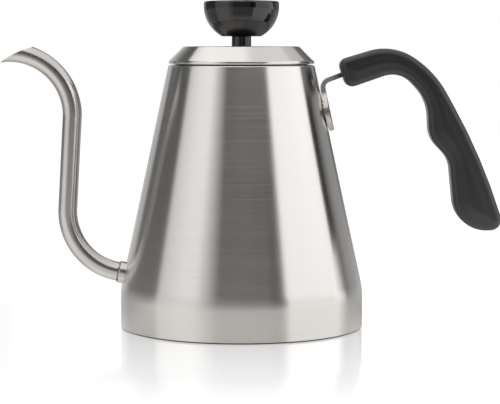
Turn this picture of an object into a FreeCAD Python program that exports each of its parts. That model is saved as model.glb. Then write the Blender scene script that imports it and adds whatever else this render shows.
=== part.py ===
import FreeCAD, Part
import math
import os

import Sketcher

# Gooseneck kettle, in millimetres. +Z is up and the table is at z = 0.
# The origin is the middle of the base, with the handle on the +X side and the spout on the -X side.

DIMENSIONS = (
    # Body: a straight band below, a cone above it, and a mouth turned in at the top
    ("base_diameter", 140.0),
    ("foot_gap", 0.8),
    ("band_height", 22.0),
    ("cone_angle", 12.23),
    ("body_height", 151.1),
    ("blend_radius", 40.0),
    ("shell_wall", 0.8),
    ("rim_round", 1.0),
    ("mouth_inset", 3.6),
    ("lip_round", 1.6),
    ("neck_depth", 6.0),
    # Base: pan, heat spreader and the cap that stands on the table
    ("seat_gap", 0.05),
    ("pan_height", 4.8),
    ("pan_wall", 0.7),
    ("pan_flange", 9.0),
    ("pan_bend", 3.0),
    ("cap_inset", 3.5),
    ("cap_wall", 0.6),
    ("cap_bend", 2.2),
    ("spreader_inset", 2.4),
    # Spout: root run, lower bend, riser and upper bend
    ("tube_diameter", 11.0),
    ("tube_wall", 0.8),
    ("spout_height", 30.8),
    ("spout_angle", 11.3),
    ("root_inside", 2.2),
    ("spout_hole_depth", 13.2),
    ("root_run", 4.3),
    ("lower_bend", 35.3),
    ("riser_length", 52.1),
    ("riser_lean", 3.25),
    ("upper_bend", 36.0),
    ("tip_overrun", 10.0),
    ("tip_slope", 35.4),
    ("tip_curve", 61.0),
    ("trim_width", 22.0),
    ("trim_height", 33.0),
    ("collar_diameter", 12.6),
    ("collar_length", 3.0),
    ("collar_round", 0.7),
    # Handle bracket: oval paddle, strap and tang
    ("weld_gap", 0.7),
    ("weld_diameter", 5.0),
    ("weld_spacing", 9.0),
    ("layer_sweep", 50.0),
    ("strap_thickness", 2.6),
    ("neck_width", 9.0),
    ("paddle_width", 21.0),
    ("paddle_drop", 38.1),
    ("paddle_height", 23.6),
    ("bend_drop", 9.1),
    ("strap_bend", 5.6),
    ("strap_rise", 21.0),
    ("strap_run", 36.0),
    ("tang_bend", 30.0),
    ("tang_fall", 20.0),
    ("tang_length", 22.0),
    # Grip
    ("grip_start", 13.6),
    ("grip_thickness", 20.0),
    ("grip_edge", 3.4),
    ("heel_back", 2.95),
    ("heel_rise", 8.0),
    ("heel_top_round", 4.6),
    ("heel_bottom_round", 5.0),
    # Lid: cover with a flat top, and a skirt that goes down into the mouth
    ("seam_gap", 0.5),
    ("lid_height", 10.2),
    ("lid_slope", 45.0),
    ("lid_band", 1.75),
    ("lid_wall", 0.7),
    ("lid_overlap", 0.1),
    ("lid_edge", 2.0),
    ("lid_corner", 1.4),
    ("hem_round", 0.9),
    ("hem_width", 1.7),
    ("skirt_clearance", 0.4),
    ("skirt_depth", 12.0),
    ("skirt_wall", 0.6),
    ("skirt_flange", 3.0),
    ("skirt_bend", 1.5),
    ("skirt_hem", 3.0),
    ("vent_diameter", 3.0),
    ("vent_circle", 24.0),
    ("vent_count", 3),
    # Knob and the screw that holds it
    ("stem_diameter", 11.2),
    ("stem_height", 5.7),
    ("knob_diameter", 43.3),
    ("knob_foot", 23.5),
    ("knob_bowl", 17.0),
    ("knob_curve", 19.5),
    ("knob_band", 1.9),
    ("knob_edge", 1.2),
    ("knob_dome", 1.4),
    ("screw_diameter", 4.0),
    ("screw_reach", 9.0),
    ("head_diameter", 8.0),
    ("head_height", 2.6),
    ("recess_width", 1.2),
    ("recess_length", 4.6),
    ("recess_depth", 1.5),
    ("hole_clearance", 0.25),
    ("thread_clearance", 0.05),
    ("washer_diameter", 11.0),
    ("washer_thickness", 1.0),
    ("insert_diameter", 7.0),
    ("insert_length", 12.0),
)

# The grip's side outline, from its upper heel corner over the back, round the tail and up the finger side.
# Each leg has the angle of its heading in degrees, a length from corner to corner and the radius of the bend
# at its end, which the last leg does not need.
GRIP_LEGS = {
    "crown": dict(angle=16.8, length=33.1, bend=29.9),
    "shoulder": dict(angle=-32.6, length=28.4, bend=57.6),
    "back": dict(angle=-60.6, length=57.5, bend=330.0),
    "tail": dict(angle=-72.4, length=43.8, bend=6.2),
    "tail_end": dict(angle=-178.5, length=28.5, bend=19.3),
    "little_finger": dict(angle=-264.3, length=41.9, bend=15.4),
    "finger_rise": dict(angle=-226.7, length=17.0, bend=16.5),
    "middle_finger": dict(angle=-267.2, length=21.8, bend=26.2),
    "first_finger": dict(angle=-227.1, length=23.0, bend=15.3),
    "under_heel": dict(angle=-160.8, length=32.3),
}

doc = FreeCAD.newDocument("gooseneck_kettle")
sheet = doc.addObject("Spreadsheet::Sheet", "dims")


class Size:
    """A number together with the cell expression that it is worked out from."""

    def __init__(self, value, text):
        self.value = value
        self.text = text

    def __add__(self, other):
        other = as_size(other)
        return Size(self.value + other.value, f"({self.text} + {other.text})")

    def __sub__(self, other):
        other = as_size(other)
        return Size(self.value - other.value, f"({self.text} - {other.text})")

    def __mul__(self, other):
        other = as_size(other)
        return Size(self.value * other.value, f"({self.text} * {other.text})")

    def __truediv__(self, other):
        other = as_size(other)
        return Size(self.value / other.value, f"({self.text} / {other.text})")

    def __radd__(self, other):
        return as_size(other) + self

    def __rsub__(self, other):
        return as_size(other) - self

    def __rmul__(self, other):
        return as_size(other) * self

    def __neg__(self):
        return Size(-self.value, f"(0 - {self.text})")


def as_size(number):
    return number if isinstance(number, Size) else Size(float(number), f"{number}")


def sine(angle):
    return Size(math.sin(math.radians(angle.value)), f"sin({angle.text})")


def cosine(angle):
    return Size(math.cos(math.radians(angle.value)), f"cos({angle.text})")


def tangent(angle):
    return Size(math.tan(math.radians(angle.value)), f"tan({angle.text})")


class Sizes:
    """The driving dimensions, one attribute for each cell of the sheet."""


d = Sizes()
rows = list(DIMENSIONS)
for leg, sizes in GRIP_LEGS.items():
    rows += [(f"{leg}_{size}", number) for size, number in sizes.items()]
for row, (alias, number) in enumerate(rows, start=1):
    sheet.set(f"A{row}", alias)
    sheet.set(f"B{row}", str(number))
    sheet.setAlias(f"B{row}", alias)
doc.recompute()
for alias, _ in rows:
    setattr(d, alias, Size(float(sheet.get(alias)), f"dims.{alias}"))

ZERO = Size(0.0, "0")
QUARTER_TURN = 90


def bind(thing, **sizes):
    """Tie properties of a document object to the sheet."""
    for name, size in sizes.items():
        thing.setExpression(name, size.text)
    return thing


def place(thing, x=ZERO, y=ZERO, z=ZERO, axis=(0, 1, 0), angle=ZERO):
    """Put an object at a point, turned about one axis."""
    turn = FreeCAD.Rotation(FreeCAD.Vector(*axis), angle.value)
    thing.Placement = FreeCAD.Placement(FreeCAD.Vector(x.value, y.value, z.value), turn)
    for name, size in (("x", x), ("y", y), ("z", z)):
        thing.setExpression(f"Placement.Base.{name}", size.text)
    if angle is not ZERO:
        thing.setExpression("Placement.Rotation.Angle", angle.text)
    return thing


def primitive(kind, name, **sizes):
    return bind(doc.addObject(f"Part::{kind}", name), **sizes)


def combine(kind, name, base, tool):
    """A boolean of two objects: kind is Cut, Fuse or Common."""
    result = doc.addObject(f"Part::{kind}", name)
    result.Base = base
    result.Tool = tool
    return result


def new_body(name):
    return doc.addObject("PartDesign::Body", name)


def sketch_in(body, name, role):
    """An empty sketch on one of the body's own origin planes."""
    plane = next(feature for feature in body.Origin.OriginFeatures if feature.Role == role)
    sketch = body.newObject("Sketcher::SketchObject", name)
    sketch.AttachmentSupport = [(plane, "")]
    sketch.MapMode = "FlatFace"
    return sketch


def edge_between(start, end):
    """A straight edge, or an arc where the end corner has a radius, positive for a turn to the left."""
    first = FreeCAD.Vector(start[0].value, start[1].value, 0)
    last = FreeCAD.Vector(end[0].value, end[1].value, 0)
    if len(end) == 2:
        return Part.LineSegment(first, last), 1, 2
    radius = end[2].value
    chord = last - first
    left = FreeCAD.Vector(-chord.y, chord.x, 0).normalize()
    height = math.sqrt(max(radius * radius - chord.Length * chord.Length / 4, 0.0))
    centre = (first + last) * 0.5 + left * math.copysign(height, radius)
    circle = Part.Circle(centre, FreeCAD.Vector(0, 0, 1), abs(radius))
    if radius > 0:
        return Part.ArcOfCircle(circle, circle.parameter(first), circle.parameter(last)), 1, 2
    return Part.ArcOfCircle(circle, circle.parameter(last), circle.parameter(first)), 2, 1


def hold(sketch, geometry, point, x, y):
    """Fix a sketch point by its two coordinates, on an axis where one of them is nothing."""
    for kind, size, axis in (("DistanceX", x, -2), ("DistanceY", y, -1)):
        if size is ZERO:
            sketch.addConstraint(Sketcher.Constraint("PointOnObject", geometry, point, axis))
            continue
        if size.value >= 0:
            constraint = Sketcher.Constraint(kind, -1, 1, geometry, point, size.value)
            text = size.text
        else:
            constraint = Sketcher.Constraint(kind, geometry, point, -1, 1, -size.value)
            text = (-size).text
        index = sketch.addConstraint(constraint)
        sketch.setExpression(f"Constraints[{index}]", text)


def draw(sketch, corners, closed=True):
    """Draw a chain of straight edges and arcs through the corners and hold it in place."""
    ends = corners[1:] + corners[:1] if closed else corners[1:]
    edges = []
    for start, end in zip(corners, ends):
        shape, first, last = edge_between(start, end)
        edges.append((sketch.addGeometry(shape, False), first, last))
    for (geometry, first, _), start, end in zip(edges, corners, ends):
        hold(sketch, geometry, first, start[0], start[1])
        if len(end) == 3:
            radius = end[2] if end[2].value > 0 else -end[2]
            index = sketch.addConstraint(Sketcher.Constraint("Radius", geometry, radius.value))
            sketch.setExpression(f"Constraints[{index}]", radius.text)
    followers = edges[1:] + edges[:1] if closed else edges[1:]
    for (geometry, _, last), (follower, first, _) in zip(edges, followers):
        sketch.addConstraint(Sketcher.Constraint("Coincident", geometry, last, follower, first))
    if not closed:
        geometry, _, last = edges[-1]
        hold(sketch, geometry, last, corners[-1][0], corners[-1][1])
    return sketch


def draw_circle(sketch, x, y, radius):
    """Draw a circle and hold its centre, which a sketch counts as its third point."""
    centre = FreeCAD.Vector(x.value, y.value, 0)
    geometry = sketch.addGeometry(Part.Circle(centre, FreeCAD.Vector(0, 0, 1), radius.value), False)
    hold(sketch, geometry, 3, x, y)
    index = sketch.addConstraint(Sketcher.Constraint("Radius", geometry, radius.value))
    sketch.setExpression(f"Constraints[{index}]", radius.text)


def bent_path(start, legs, offset=ZERO):
    """Corners of a path of straight legs with rounded bends.

    Each leg is its heading in degrees, its length from bend corner to bend corner, and the radius
    of the bend at its end, which the last leg does not need. An offset moves the path sideways,
    to the left if it is positive.
    """
    x, y = start
    corners = []
    for index, leg in enumerate(legs):
        heading, length = leg[0], leg[1]
        side_x, side_y = -sine(heading) * offset, cosine(heading) * offset
        if index == 0:
            corners.append((x + side_x, y + side_y))
        x, y = x + length * cosine(heading), y + length * sine(heading)
        if index == len(legs) - 1:
            corners.append((x + side_x, y + side_y))
            break
        following, radius = legs[index + 1][0], leg[2]
        turn = following - heading
        half = turn / 2 if turn.value > 0 else -turn / 2
        setback = radius * tangent(half)
        corners.append((x - setback * cosine(heading) + side_x, y - setback * sine(heading) + side_y))
        next_x, next_y = -sine(following) * offset, cosine(following) * offset
        bend = radius - offset if turn.value > 0 else -(radius + offset)
        after_x, after_y = x + setback * cosine(following), y + setback * sine(following)
        corners.append((after_x + next_x, after_y + next_y, bend))
    return corners


def reversed_path(corners):
    """The same chain of corners walked the other way."""
    backwards = []
    carried = None
    for corner in reversed(corners):
        point = (corner[0], corner[1])
        backwards.append(point + ((-carried,) if carried is not None else ()))
        carried = corner[2] if len(corner) == 3 else None
    return backwards


def sheet_section(start, legs, wall):
    """Closed section of bent sheet metal: the path is one face, with the wall to its left if positive."""
    return bent_path(start, legs) + reversed_path(bent_path(start, legs, wall))


def on_axis(corners):
    """The same corners with those that start on the axis held on it exactly."""
    return [(ZERO,) + corner[1:] if abs(corner[0].value) < 1e-9 else corner for corner in corners]


def revolved(name, corners):
    """A body turned about its own Z axis from a section drawn in its XZ plane."""
    body = new_body(name)
    section = draw(sketch_in(body, f"{name}_section", "XZ_Plane"), on_axis(corners))
    turned = body.newObject("PartDesign::Revolution", f"{name}_turned")
    turned.Profile = section
    turned.ReferenceAxis = (section, ["V_Axis"])
    turned.Angle = 360
    return body


def padded(name, role, corners, length):
    """A body raised evenly to both sides of one of its origin planes."""
    body = new_body(name)
    section = draw(sketch_in(body, f"{name}_section", role), corners)
    raised = body.newObject("PartDesign::Pad", f"{name}_raised")
    raised.Profile = section
    raised.Midplane = True
    bind(raised, Length=length)
    return body


def rounded(body, name, edges, radius):
    """Round chosen edges of the body as it is so far."""
    before = body.Tip
    numbers = [number for number, edge in enumerate(before.Shape.Edges, start=1) if edges(edge.CenterOfMass)]
    if not numbers:
        raise RuntimeError(f"{name} has no edges")
    fillet = body.newObject("PartDesign::Fillet", name)
    fillet.Base = (before, [f"Edge{number}" for number in numbers])
    bind(fillet, Radius=radius)
    doc.recompute()


# Shared radii and heights
base_radius = d.base_diameter / 2
cone_height = d.body_height - d.band_height
rim_radius = base_radius - cone_height * tangent(d.cone_angle)
mouth_radius = rim_radius - d.mouth_inset
tube_radius = d.tube_diameter / 2
lid_radius = rim_radius - d.lid_overlap
lid_bottom = d.body_height + d.seam_gap
lid_top = lid_bottom + d.lid_height
lid_cone_height = d.lid_height - d.lid_band
lid_top_radius = lid_radius - lid_cone_height / tangent(d.lid_slope)
screw_radius = d.screw_diameter / 2
screw_hole_radius = screw_radius + d.hole_clearance


def cone_radius(height):
    """Outer radius of the body's cone at a height."""
    return base_radius - (height - d.band_height) * tangent(d.cone_angle)


parts = {}


def keep(node, thing):
    """Name a finished sub-part."""
    thing.Label = node
    parts[node] = thing
    return thing


# Spout frame: the root of the tube leaves the cone at spout_height and climbs by spout_angle
spout_root_x = -cone_radius(d.spout_height)
spout_turn = d.spout_angle - QUARTER_TURN


def place_on_spout(thing, back=ZERO):
    """Stand an object on the spout's root axis, back from the shell's face by a distance."""
    x = spout_root_x + back * cosine(d.spout_angle)
    z = d.spout_height - back * sine(d.spout_angle)
    return place(thing, x=x, z=z, angle=spout_turn)


# Body shell: spun sheet, with a hole for the spout
upward = Size(90.0, "90")
cone_heading = upward + d.cone_angle
inward = Size(180.0, "180")
downward = Size(270.0, "270")
outward = ZERO
shell_legs = (
    (upward, d.band_height - d.foot_gap, d.blend_radius),
    (cone_heading, cone_height / cosine(d.cone_angle), d.rim_round),
    (inward, rim_radius - mouth_radius, d.lip_round),
    (downward, d.neck_depth),
)
shell_spun = revolved("shell_spun", sheet_section((base_radius, d.foot_gap), shell_legs, d.shell_wall))
spout_hole = primitive("Cylinder", "spout_hole", Radius=tube_radius + d.seat_gap, Height=d.spout_hole_depth)
place_on_spout(spout_hole, d.spout_hole_depth / 2)
keep("body_shell", combine("Cut", "body_shell", shell_spun, spout_hole))

# Base: the pan is the floor of the water chamber, and the cap holds the heat spreader under it
pan_radius = base_radius - d.shell_wall - d.seat_gap
pan_legs = ((outward, pan_radius, d.pan_bend), (upward, d.pan_flange))
keep("base_pan", revolved("base_pan", sheet_section((ZERO, d.pan_height), pan_legs, d.pan_wall)))
cap_radius = base_radius - d.cap_inset
cap_legs = ((outward, cap_radius, d.cap_bend), (upward, d.pan_height - d.seat_gap))
keep("base_cap", revolved("base_cap", sheet_section((ZERO, ZERO), cap_legs, d.cap_wall)))
spreader_radius = cap_radius - d.spreader_inset
spreader_low = d.cap_wall + d.seat_gap
spreader_high = d.pan_height - d.seat_gap
spreader_section = [
    (ZERO, spreader_low),
    (spreader_radius, spreader_low),
    (spreader_radius, spreader_high),
    (ZERO, spreader_high),
]
keep("heat_spreader", revolved("heat_spreader", spreader_section))

# Spout tube: swept along its own centre line, which starts at the root and climbs along local Z
lower_turn = upward + d.riser_lean - d.spout_angle
upper_turn = upward + d.riser_lean + d.tip_overrun * 2
riser_heading = upward - lower_turn
root_length = d.root_inside + d.root_run
lower_end_x = d.lower_bend - d.lower_bend * cosine(lower_turn)
lower_end_y = root_length + d.lower_bend * sine(lower_turn)
riser_end_x = lower_end_x + d.riser_length * cosine(riser_heading)
riser_end_y = lower_end_y + d.riser_length * sine(riser_heading)


def round_upper_bend(turn):
    """A corner on the spine's upper bend, after a turn from the riser."""
    heading = riser_heading + turn
    x = riser_end_x - d.upper_bend * (sine(riser_heading) - sine(heading))
    y = riser_end_y + d.upper_bend * (cosine(riser_heading) - cosine(heading))
    return x, y, d.upper_bend


spine_corners = [
    (ZERO, ZERO),
    (ZERO, root_length),
    (lower_end_x, lower_end_y, -d.lower_bend),
    (riser_end_x, riser_end_y),
    round_upper_bend(upper_turn / 2),
    round_upper_bend(upper_turn),
]
spout_bent = new_body("spout_bent")
spout_spine = draw(sketch_in(spout_bent, "spout_spine", "XZ_Plane"), spine_corners, closed=False)
spout_ring = sketch_in(spout_bent, "spout_ring", "XY_Plane")
draw_circle(spout_ring, ZERO, ZERO, tube_radius)
draw_circle(spout_ring, ZERO, ZERO, tube_radius - d.tube_wall)
spout_sweep = spout_bent.newObject("PartDesign::AdditivePipe", "spout_sweep")
spout_sweep.Profile = spout_ring
spout_sweep.Spine = spout_spine
place_on_spout(spout_bent, d.root_inside)

# Spout tip: a slanting, slightly rounded cut that leaves the lower lip as the pouring point
upper_centre_x = (
    spout_root_x
    - d.root_run * cosine(d.spout_angle)
    + d.lower_bend * (sine(d.spout_angle) - cosine(d.riser_lean))
    + d.riser_length * sine(d.riser_lean)
    - d.upper_bend * cosine(d.riser_lean)
)
upper_centre_z = (
    d.spout_height
    + d.root_run * sine(d.spout_angle)
    + d.lower_bend * (cosine(d.spout_angle) + sine(d.riser_lean))
    + d.riser_length * cosine(d.riser_lean)
    + d.upper_bend * sine(d.riser_lean)
)
inner_bend = d.upper_bend - tube_radius
lip_x = upper_centre_x - inner_bend * sine(d.tip_overrun)
lip_z = upper_centre_z + inner_bend * cosine(d.tip_overrun)
trim_round = primitive("Cylinder", "trim_round", Radius=d.tip_curve, Height=d.trim_width)
trim_x = lip_x + d.tip_curve * sine(d.tip_slope)
trim_z = lip_z - d.tip_curve * cosine(d.tip_slope)
place(trim_round, x=trim_x, y=d.trim_width / 2, z=trim_z, axis=(1, 0, 0), angle=upward)
trim_length = d.trim_width + d.tip_curve * sine(d.tip_slope)
trim_block = primitive("Box", "trim_block", Length=trim_length, Width=d.trim_width, Height=d.trim_height)
place(trim_block, x=lip_x - d.trim_width, y=-d.trim_width / 2, z=lip_z - tube_radius)
tip_trim = combine("Cut", "tip_trim", trim_block, trim_round)
keep("spout_tube", combine("Cut", "spout_tube", spout_bent, tip_trim))

# Spout collar: a rounded ring on the tube, seated on the cone
collar_radius = d.collar_diameter / 2
collar_bore = tube_radius + d.seat_gap
collar_section = [
    (collar_bore, -d.collar_length),
    (collar_radius, -d.collar_length),
    (collar_radius, d.collar_length - d.collar_round),
    (collar_radius - d.collar_round, d.collar_length, d.collar_round),
    (collar_bore, d.collar_length),
]
collar_ring = place_on_spout(revolved("collar_ring", collar_section))
cone_envelope = primitive("Cone", "cone_envelope", Radius1=base_radius, Radius2=rim_radius)
bind(cone_envelope, Height=cone_height)
place(cone_envelope, z=d.band_height)
keep("spout_collar", combine("Cut", "spout_collar", collar_ring, cone_envelope))


def cone_layer(name, gap, thickness, low, high):
    """A strip of a layer on the cone's +X side, lifted off it by a gap."""
    corners = []
    for lift, height in ((gap, low), (gap + thickness, low), (gap + thickness, high), (gap, high)):
        corners.append((cone_radius(height) + lift / cosine(d.cone_angle), height))
    body = revolved(name, corners)
    bind(body.Tip, Angle=d.layer_sweep)
    body.Tip.Midplane = True
    return body


# Handle bracket: an oval paddle that follows the cone, and a flat strap bent away from it into the grip
paddle_half = d.paddle_width / 2
neck_half = d.neck_width / 2
paddle_bottom = d.body_height - d.paddle_drop
paddle_middle = paddle_bottom + paddle_half
paddle_top = paddle_bottom + d.paddle_height
bend_height = d.body_height - d.bend_drop
paddle_corners = [
    (neck_half, paddle_top),
    (-neck_half, paddle_top),
    (-paddle_half, paddle_middle),
    (ZERO, paddle_bottom, paddle_half),
    (paddle_half, paddle_middle, paddle_half),
]
paddle_blank = cone_layer("paddle_blank", d.weld_gap, d.strap_thickness, paddle_bottom, paddle_top)
paddle_outline = padded("paddle_outline", "YZ_Plane", paddle_corners, d.base_diameter)
paddle = combine("Common", "paddle", paddle_blank, paddle_outline)

bend_x = cone_radius(bend_height) + d.weld_gap / cosine(d.cone_angle)
neck_length = (bend_height - paddle_middle) / cosine(d.cone_angle)
strap_start = (bend_x - neck_length * cosine(cone_heading), paddle_middle)
strap_legs = (
    (cone_heading, neck_length, d.strap_bend),
    (d.strap_rise, d.strap_run, d.tang_bend),
    (-d.tang_fall, d.tang_length),
)
strap_corners = sheet_section(strap_start, strap_legs, -d.strap_thickness)
strap = padded("strap", "XZ_Plane", strap_corners, d.neck_width)
handle_bracket = keep("handle_bracket", combine("Fuse", "handle_bracket", paddle, strap))

# Welds: three buttons that fill the gap between the paddle and the shell
weld_reach = d.weld_spacing / 2
weld_places = ((ZERO, -weld_reach), (weld_reach, weld_reach), (-weld_reach, weld_reach))
weld_posts = doc.addObject("Part::MultiFuse", "weld_posts")
posts = []
for number, (side, rise) in enumerate(weld_places, start=1):
    post = primitive("Cylinder", f"weld_post_{number}", Radius=d.weld_diameter / 2, Height=base_radius)
    posts.append(place(post, y=side, z=paddle_middle + rise, angle=upward))
weld_posts.Shapes = posts
weld_layer = cone_layer("weld_layer", ZERO, d.weld_gap, paddle_bottom, paddle_top)
keep("bracket_welds", combine("Common", "bracket_welds", weld_layer, weld_posts))

# Lid cover: pressed sheet with a flat top, a sloping side and a hem that meets the rim
lid_legs = (
    (outward, lid_top_radius - screw_hole_radius, d.lid_edge),
    (-d.lid_slope, lid_cone_height / sine(d.lid_slope), d.lid_corner),
    (-upward, d.lid_band, d.hem_round),
    (-inward, d.hem_width),
)
lid_cover = revolved("lid_cover", sheet_section((screw_hole_radius, lid_top), lid_legs, -d.lid_wall))
vent_sketch = sketch_in(lid_cover, "vent_sketch", "XY_Plane")
draw_circle(vent_sketch, d.vent_circle / 2, ZERO, d.vent_diameter / 2)
doc.recompute()
blank_volume = lid_cover.Shape.Volume
vent = lid_cover.newObject("PartDesign::Pocket", "vent")
vent.Profile = vent_sketch
vent.Type = "ThroughAll"
vent.Reversed = True
vents = lid_cover.newObject("PartDesign::PolarPattern", "vents")
vents.Originals = [vent]
vents.Axis = (vent_sketch, ["N_Axis"])
vents.Angle = 360
bind(vents, Occurrences=d.vent_count)
lid_cover.Tip = vents
keep("lid_cover", lid_cover)

# Lid skirt: a sleeve whose flange lies under the cover's slope
skirt_radius = mouth_radius - d.skirt_clearance
slope_fall = (skirt_radius - lid_top_radius + d.lid_wall * sine(d.lid_slope)) * tangent(d.lid_slope)
skirt_top = lid_top - d.lid_wall * cosine(d.lid_slope) - slope_fall
skirt_bottom = d.body_height - d.skirt_depth
skirt_start = (
    skirt_radius - d.skirt_flange * cosine(d.lid_slope),
    skirt_top + d.skirt_flange * sine(d.lid_slope),
)
skirt_legs = (
    (-d.lid_slope, d.skirt_flange, d.skirt_bend),
    (-upward, skirt_top - skirt_bottom, d.skirt_bend),
    (-inward, d.skirt_hem),
)
keep("lid_skirt", revolved("lid_skirt", sheet_section(skirt_start, skirt_legs, -d.skirt_wall)))


def ring_section(inner, outer, low, high):
    return [(inner, low), (outer, low), (outer, high), (inner, high)]


# Knob: a bowl with a gently domed top, on a stem, round a threaded insert
knob_bottom = lid_top + d.stem_height
stem_radius = d.stem_diameter / 2
keep("knob_stem", revolved("knob_stem", ring_section(screw_hole_radius, stem_radius, lid_top, knob_bottom)))
insert_radius = d.insert_diameter / 2
insert_bore = screw_radius + d.thread_clearance
insert_top = knob_bottom + d.insert_length
insert_section = ring_section(insert_bore, insert_radius, knob_bottom, insert_top)
keep("knob_insert", revolved("knob_insert", insert_section))
knob_radius = d.knob_diameter / 2
knob_pocket = insert_radius + d.seat_gap
knob_rim = knob_bottom + d.knob_bowl
knob_shoulder = knob_rim + d.knob_band
knob_top_edge = knob_shoulder + d.knob_edge
dome_reach = knob_radius - d.knob_edge
dome_radius = (dome_reach * dome_reach + d.knob_dome * d.knob_dome) / (d.knob_dome * 2)
knob_section = [
    (knob_pocket, knob_bottom),
    (d.knob_foot / 2, knob_bottom),
    (knob_radius, knob_rim, d.knob_curve),
    (knob_radius, knob_shoulder),
    (dome_reach, knob_top_edge, d.knob_edge),
    (ZERO, knob_top_edge + d.knob_dome, dome_radius),
    (ZERO, insert_top + d.seat_gap),
    (knob_pocket, insert_top + d.seat_gap),
]
keep("knob", revolved("knob", knob_section))

# Screw and washer: they hold the knob from under the lid
lid_underside = lid_top - d.lid_wall
washer_bottom = lid_underside - d.washer_thickness
washer_section = ring_section(screw_hole_radius, d.washer_diameter / 2, washer_bottom, lid_underside)
keep("knob_washer", revolved("knob_washer", washer_section))
head_bottom = washer_bottom - d.head_height
head_radius = d.head_diameter / 2
head_round = d.head_height / 2
screw_tip = knob_bottom + d.screw_reach
tip_chamfer = screw_radius / 4
screw_section = [
    (ZERO, head_bottom),
    (head_radius - head_round, head_bottom),
    (head_radius, head_bottom + head_round, head_round),
    (head_radius, washer_bottom),
    (screw_radius, washer_bottom),
    (screw_radius, screw_tip - tip_chamfer),
    (screw_radius - tip_chamfer, screw_tip),
    (ZERO, screw_tip),
]
knob_screw = revolved("knob_screw", screw_section)
arm = d.recess_length / 2
side = d.recess_width / 2
recess_corners = [
    (arm, -side), (arm, side), (side, side), (side, arm), (-side, arm), (-side, side),
    (-arm, side), (-arm, -side), (-side, -side), (-side, -arm), (side, -arm), (side, -side),
]
recess_sketch = draw(sketch_in(knob_screw, "recess_sketch", "XY_Plane"), recess_corners)
doc.recompute()
plain_screw_volume = knob_screw.Shape.Volume
recess = knob_screw.newObject("PartDesign::Pocket", "recess")
recess.Profile = recess_sketch
recess.Reversed = True
bind(recess, Length=head_bottom + d.recess_depth)
keep("knob_screw", knob_screw)
doc.recompute()

# Grip: its side outline raised to its thickness, rounded all along, and moulded round the tang
half_strap = d.strap_thickness / 2
entry_x = bend_x + d.grip_start * cosine(d.strap_rise) + half_strap * sine(d.strap_rise)
entry_z = bend_height + d.grip_start * sine(d.strap_rise) - half_strap * cosine(d.strap_rise)
grip_legs = []
for leg, sizes in GRIP_LEGS.items():
    grip_legs.append(tuple(getattr(d, f"{leg}_{size}") for size in sizes))
grip_corners = bent_path((entry_x - d.heel_back, entry_z + d.heel_rise), grip_legs)
grip_moulding = padded("grip_moulding", "XZ_Plane", grip_corners, d.grip_thickness)
doc.recompute()


def at_corner(corner):
    """A test for the edge that runs across the grip at a corner of its outline."""
    spot = FreeCAD.Vector(corner[0].value, 0, corner[1].value)
    return lambda middle: middle.distanceToPoint(spot) < 1e-3


def on_side(middle):
    """A test for the edges of the grip's two flat sides."""
    return abs(abs(middle.y) - d.grip_thickness.value / 2) < 1e-3


rounded(grip_moulding, "heel_top", at_corner(grip_corners[0]), d.heel_top_round)
rounded(grip_moulding, "heel_bottom", at_corner(grip_corners[-1]), d.heel_bottom_round)
rounded(grip_moulding, "grip_rims", on_side, d.grip_edge)
keep("grip", combine("Cut", "grip", grip_moulding, handle_bracket))
doc.recompute()

# Check everything before writing the files
for thing in doc.Objects:
    if {"Invalid", "Error"} & set(thing.State):
        raise RuntimeError(f"{thing.Name} failed: {thing.State}")
for node, thing in parts.items():
    if thing.Shape.isNull() or not thing.Shape.isValid() or not thing.Shape.Solids:
        raise RuntimeError(f"{node} has no valid solid")
if lid_cover.Shape.Volume >= blank_volume or knob_screw.Shape.Volume >= plain_screw_volume:
    raise RuntimeError("a cut removed nothing")

os.makedirs("parts", exist_ok=True)
whole = FreeCAD.BoundBox()
for node, thing in parts.items():
    thing.Shape.exportStep(f"parts/{node}.step")
    whole.add(thing.Shape.optimalBoundingBox())
    print(f"{node}: {len(thing.Shape.Solids)} solid, {thing.Shape.Volume:.1f} mm3")
print(f"x {whole.XMin:.1f} to {whole.XMax:.1f}, y {whole.YMin:.1f} to {whole.YMax:.1f}")
print(f"z {whole.ZMin:.1f} to {whole.ZMax:.1f}")
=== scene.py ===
# %% [markdown]
# # Gooseneck kettle
# This is a conical kettle for pour-over coffee: a body of brushed steel, a thin bent spout, a lift-off lid with
# a round knob, and a black grip that is open at its lower end.
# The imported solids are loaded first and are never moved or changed. They hold each piece's place and size.
# Every piece that shows is then modelled again with a finer mesh, in metres, and stands in for its solid.

# %% Load the solids
import math

import bpy
from mathutils.bvhtree import BVHTree
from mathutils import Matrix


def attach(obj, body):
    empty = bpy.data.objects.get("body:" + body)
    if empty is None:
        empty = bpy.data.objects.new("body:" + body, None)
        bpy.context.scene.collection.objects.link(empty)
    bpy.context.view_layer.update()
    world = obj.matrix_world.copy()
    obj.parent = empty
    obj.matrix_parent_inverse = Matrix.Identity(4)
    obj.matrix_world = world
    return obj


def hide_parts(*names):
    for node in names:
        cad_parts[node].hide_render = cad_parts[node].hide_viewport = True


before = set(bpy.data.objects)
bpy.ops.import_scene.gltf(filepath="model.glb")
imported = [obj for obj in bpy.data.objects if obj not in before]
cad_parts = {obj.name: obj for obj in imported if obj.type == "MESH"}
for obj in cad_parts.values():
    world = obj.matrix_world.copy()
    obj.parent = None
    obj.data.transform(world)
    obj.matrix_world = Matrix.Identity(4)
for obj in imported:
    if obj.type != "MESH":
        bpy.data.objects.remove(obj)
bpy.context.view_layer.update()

# %% [markdown]
# ## Camera
# The photograph was taken from in front, a little above the lid, with a long lens, so the kettle hardly tapers.
# The camera's distance, height and tilt were found from the ellipse of the base and the slopes of the body.

# %% Camera
PHOTO_WIDTH = 500
FOCAL_PIXELS = 1820
SENSOR_WIDTH = 36
CAMERA_PLACE = (0.0049, -1.050, 0.1635)
LOOKING_DOWN = 4.983

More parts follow.
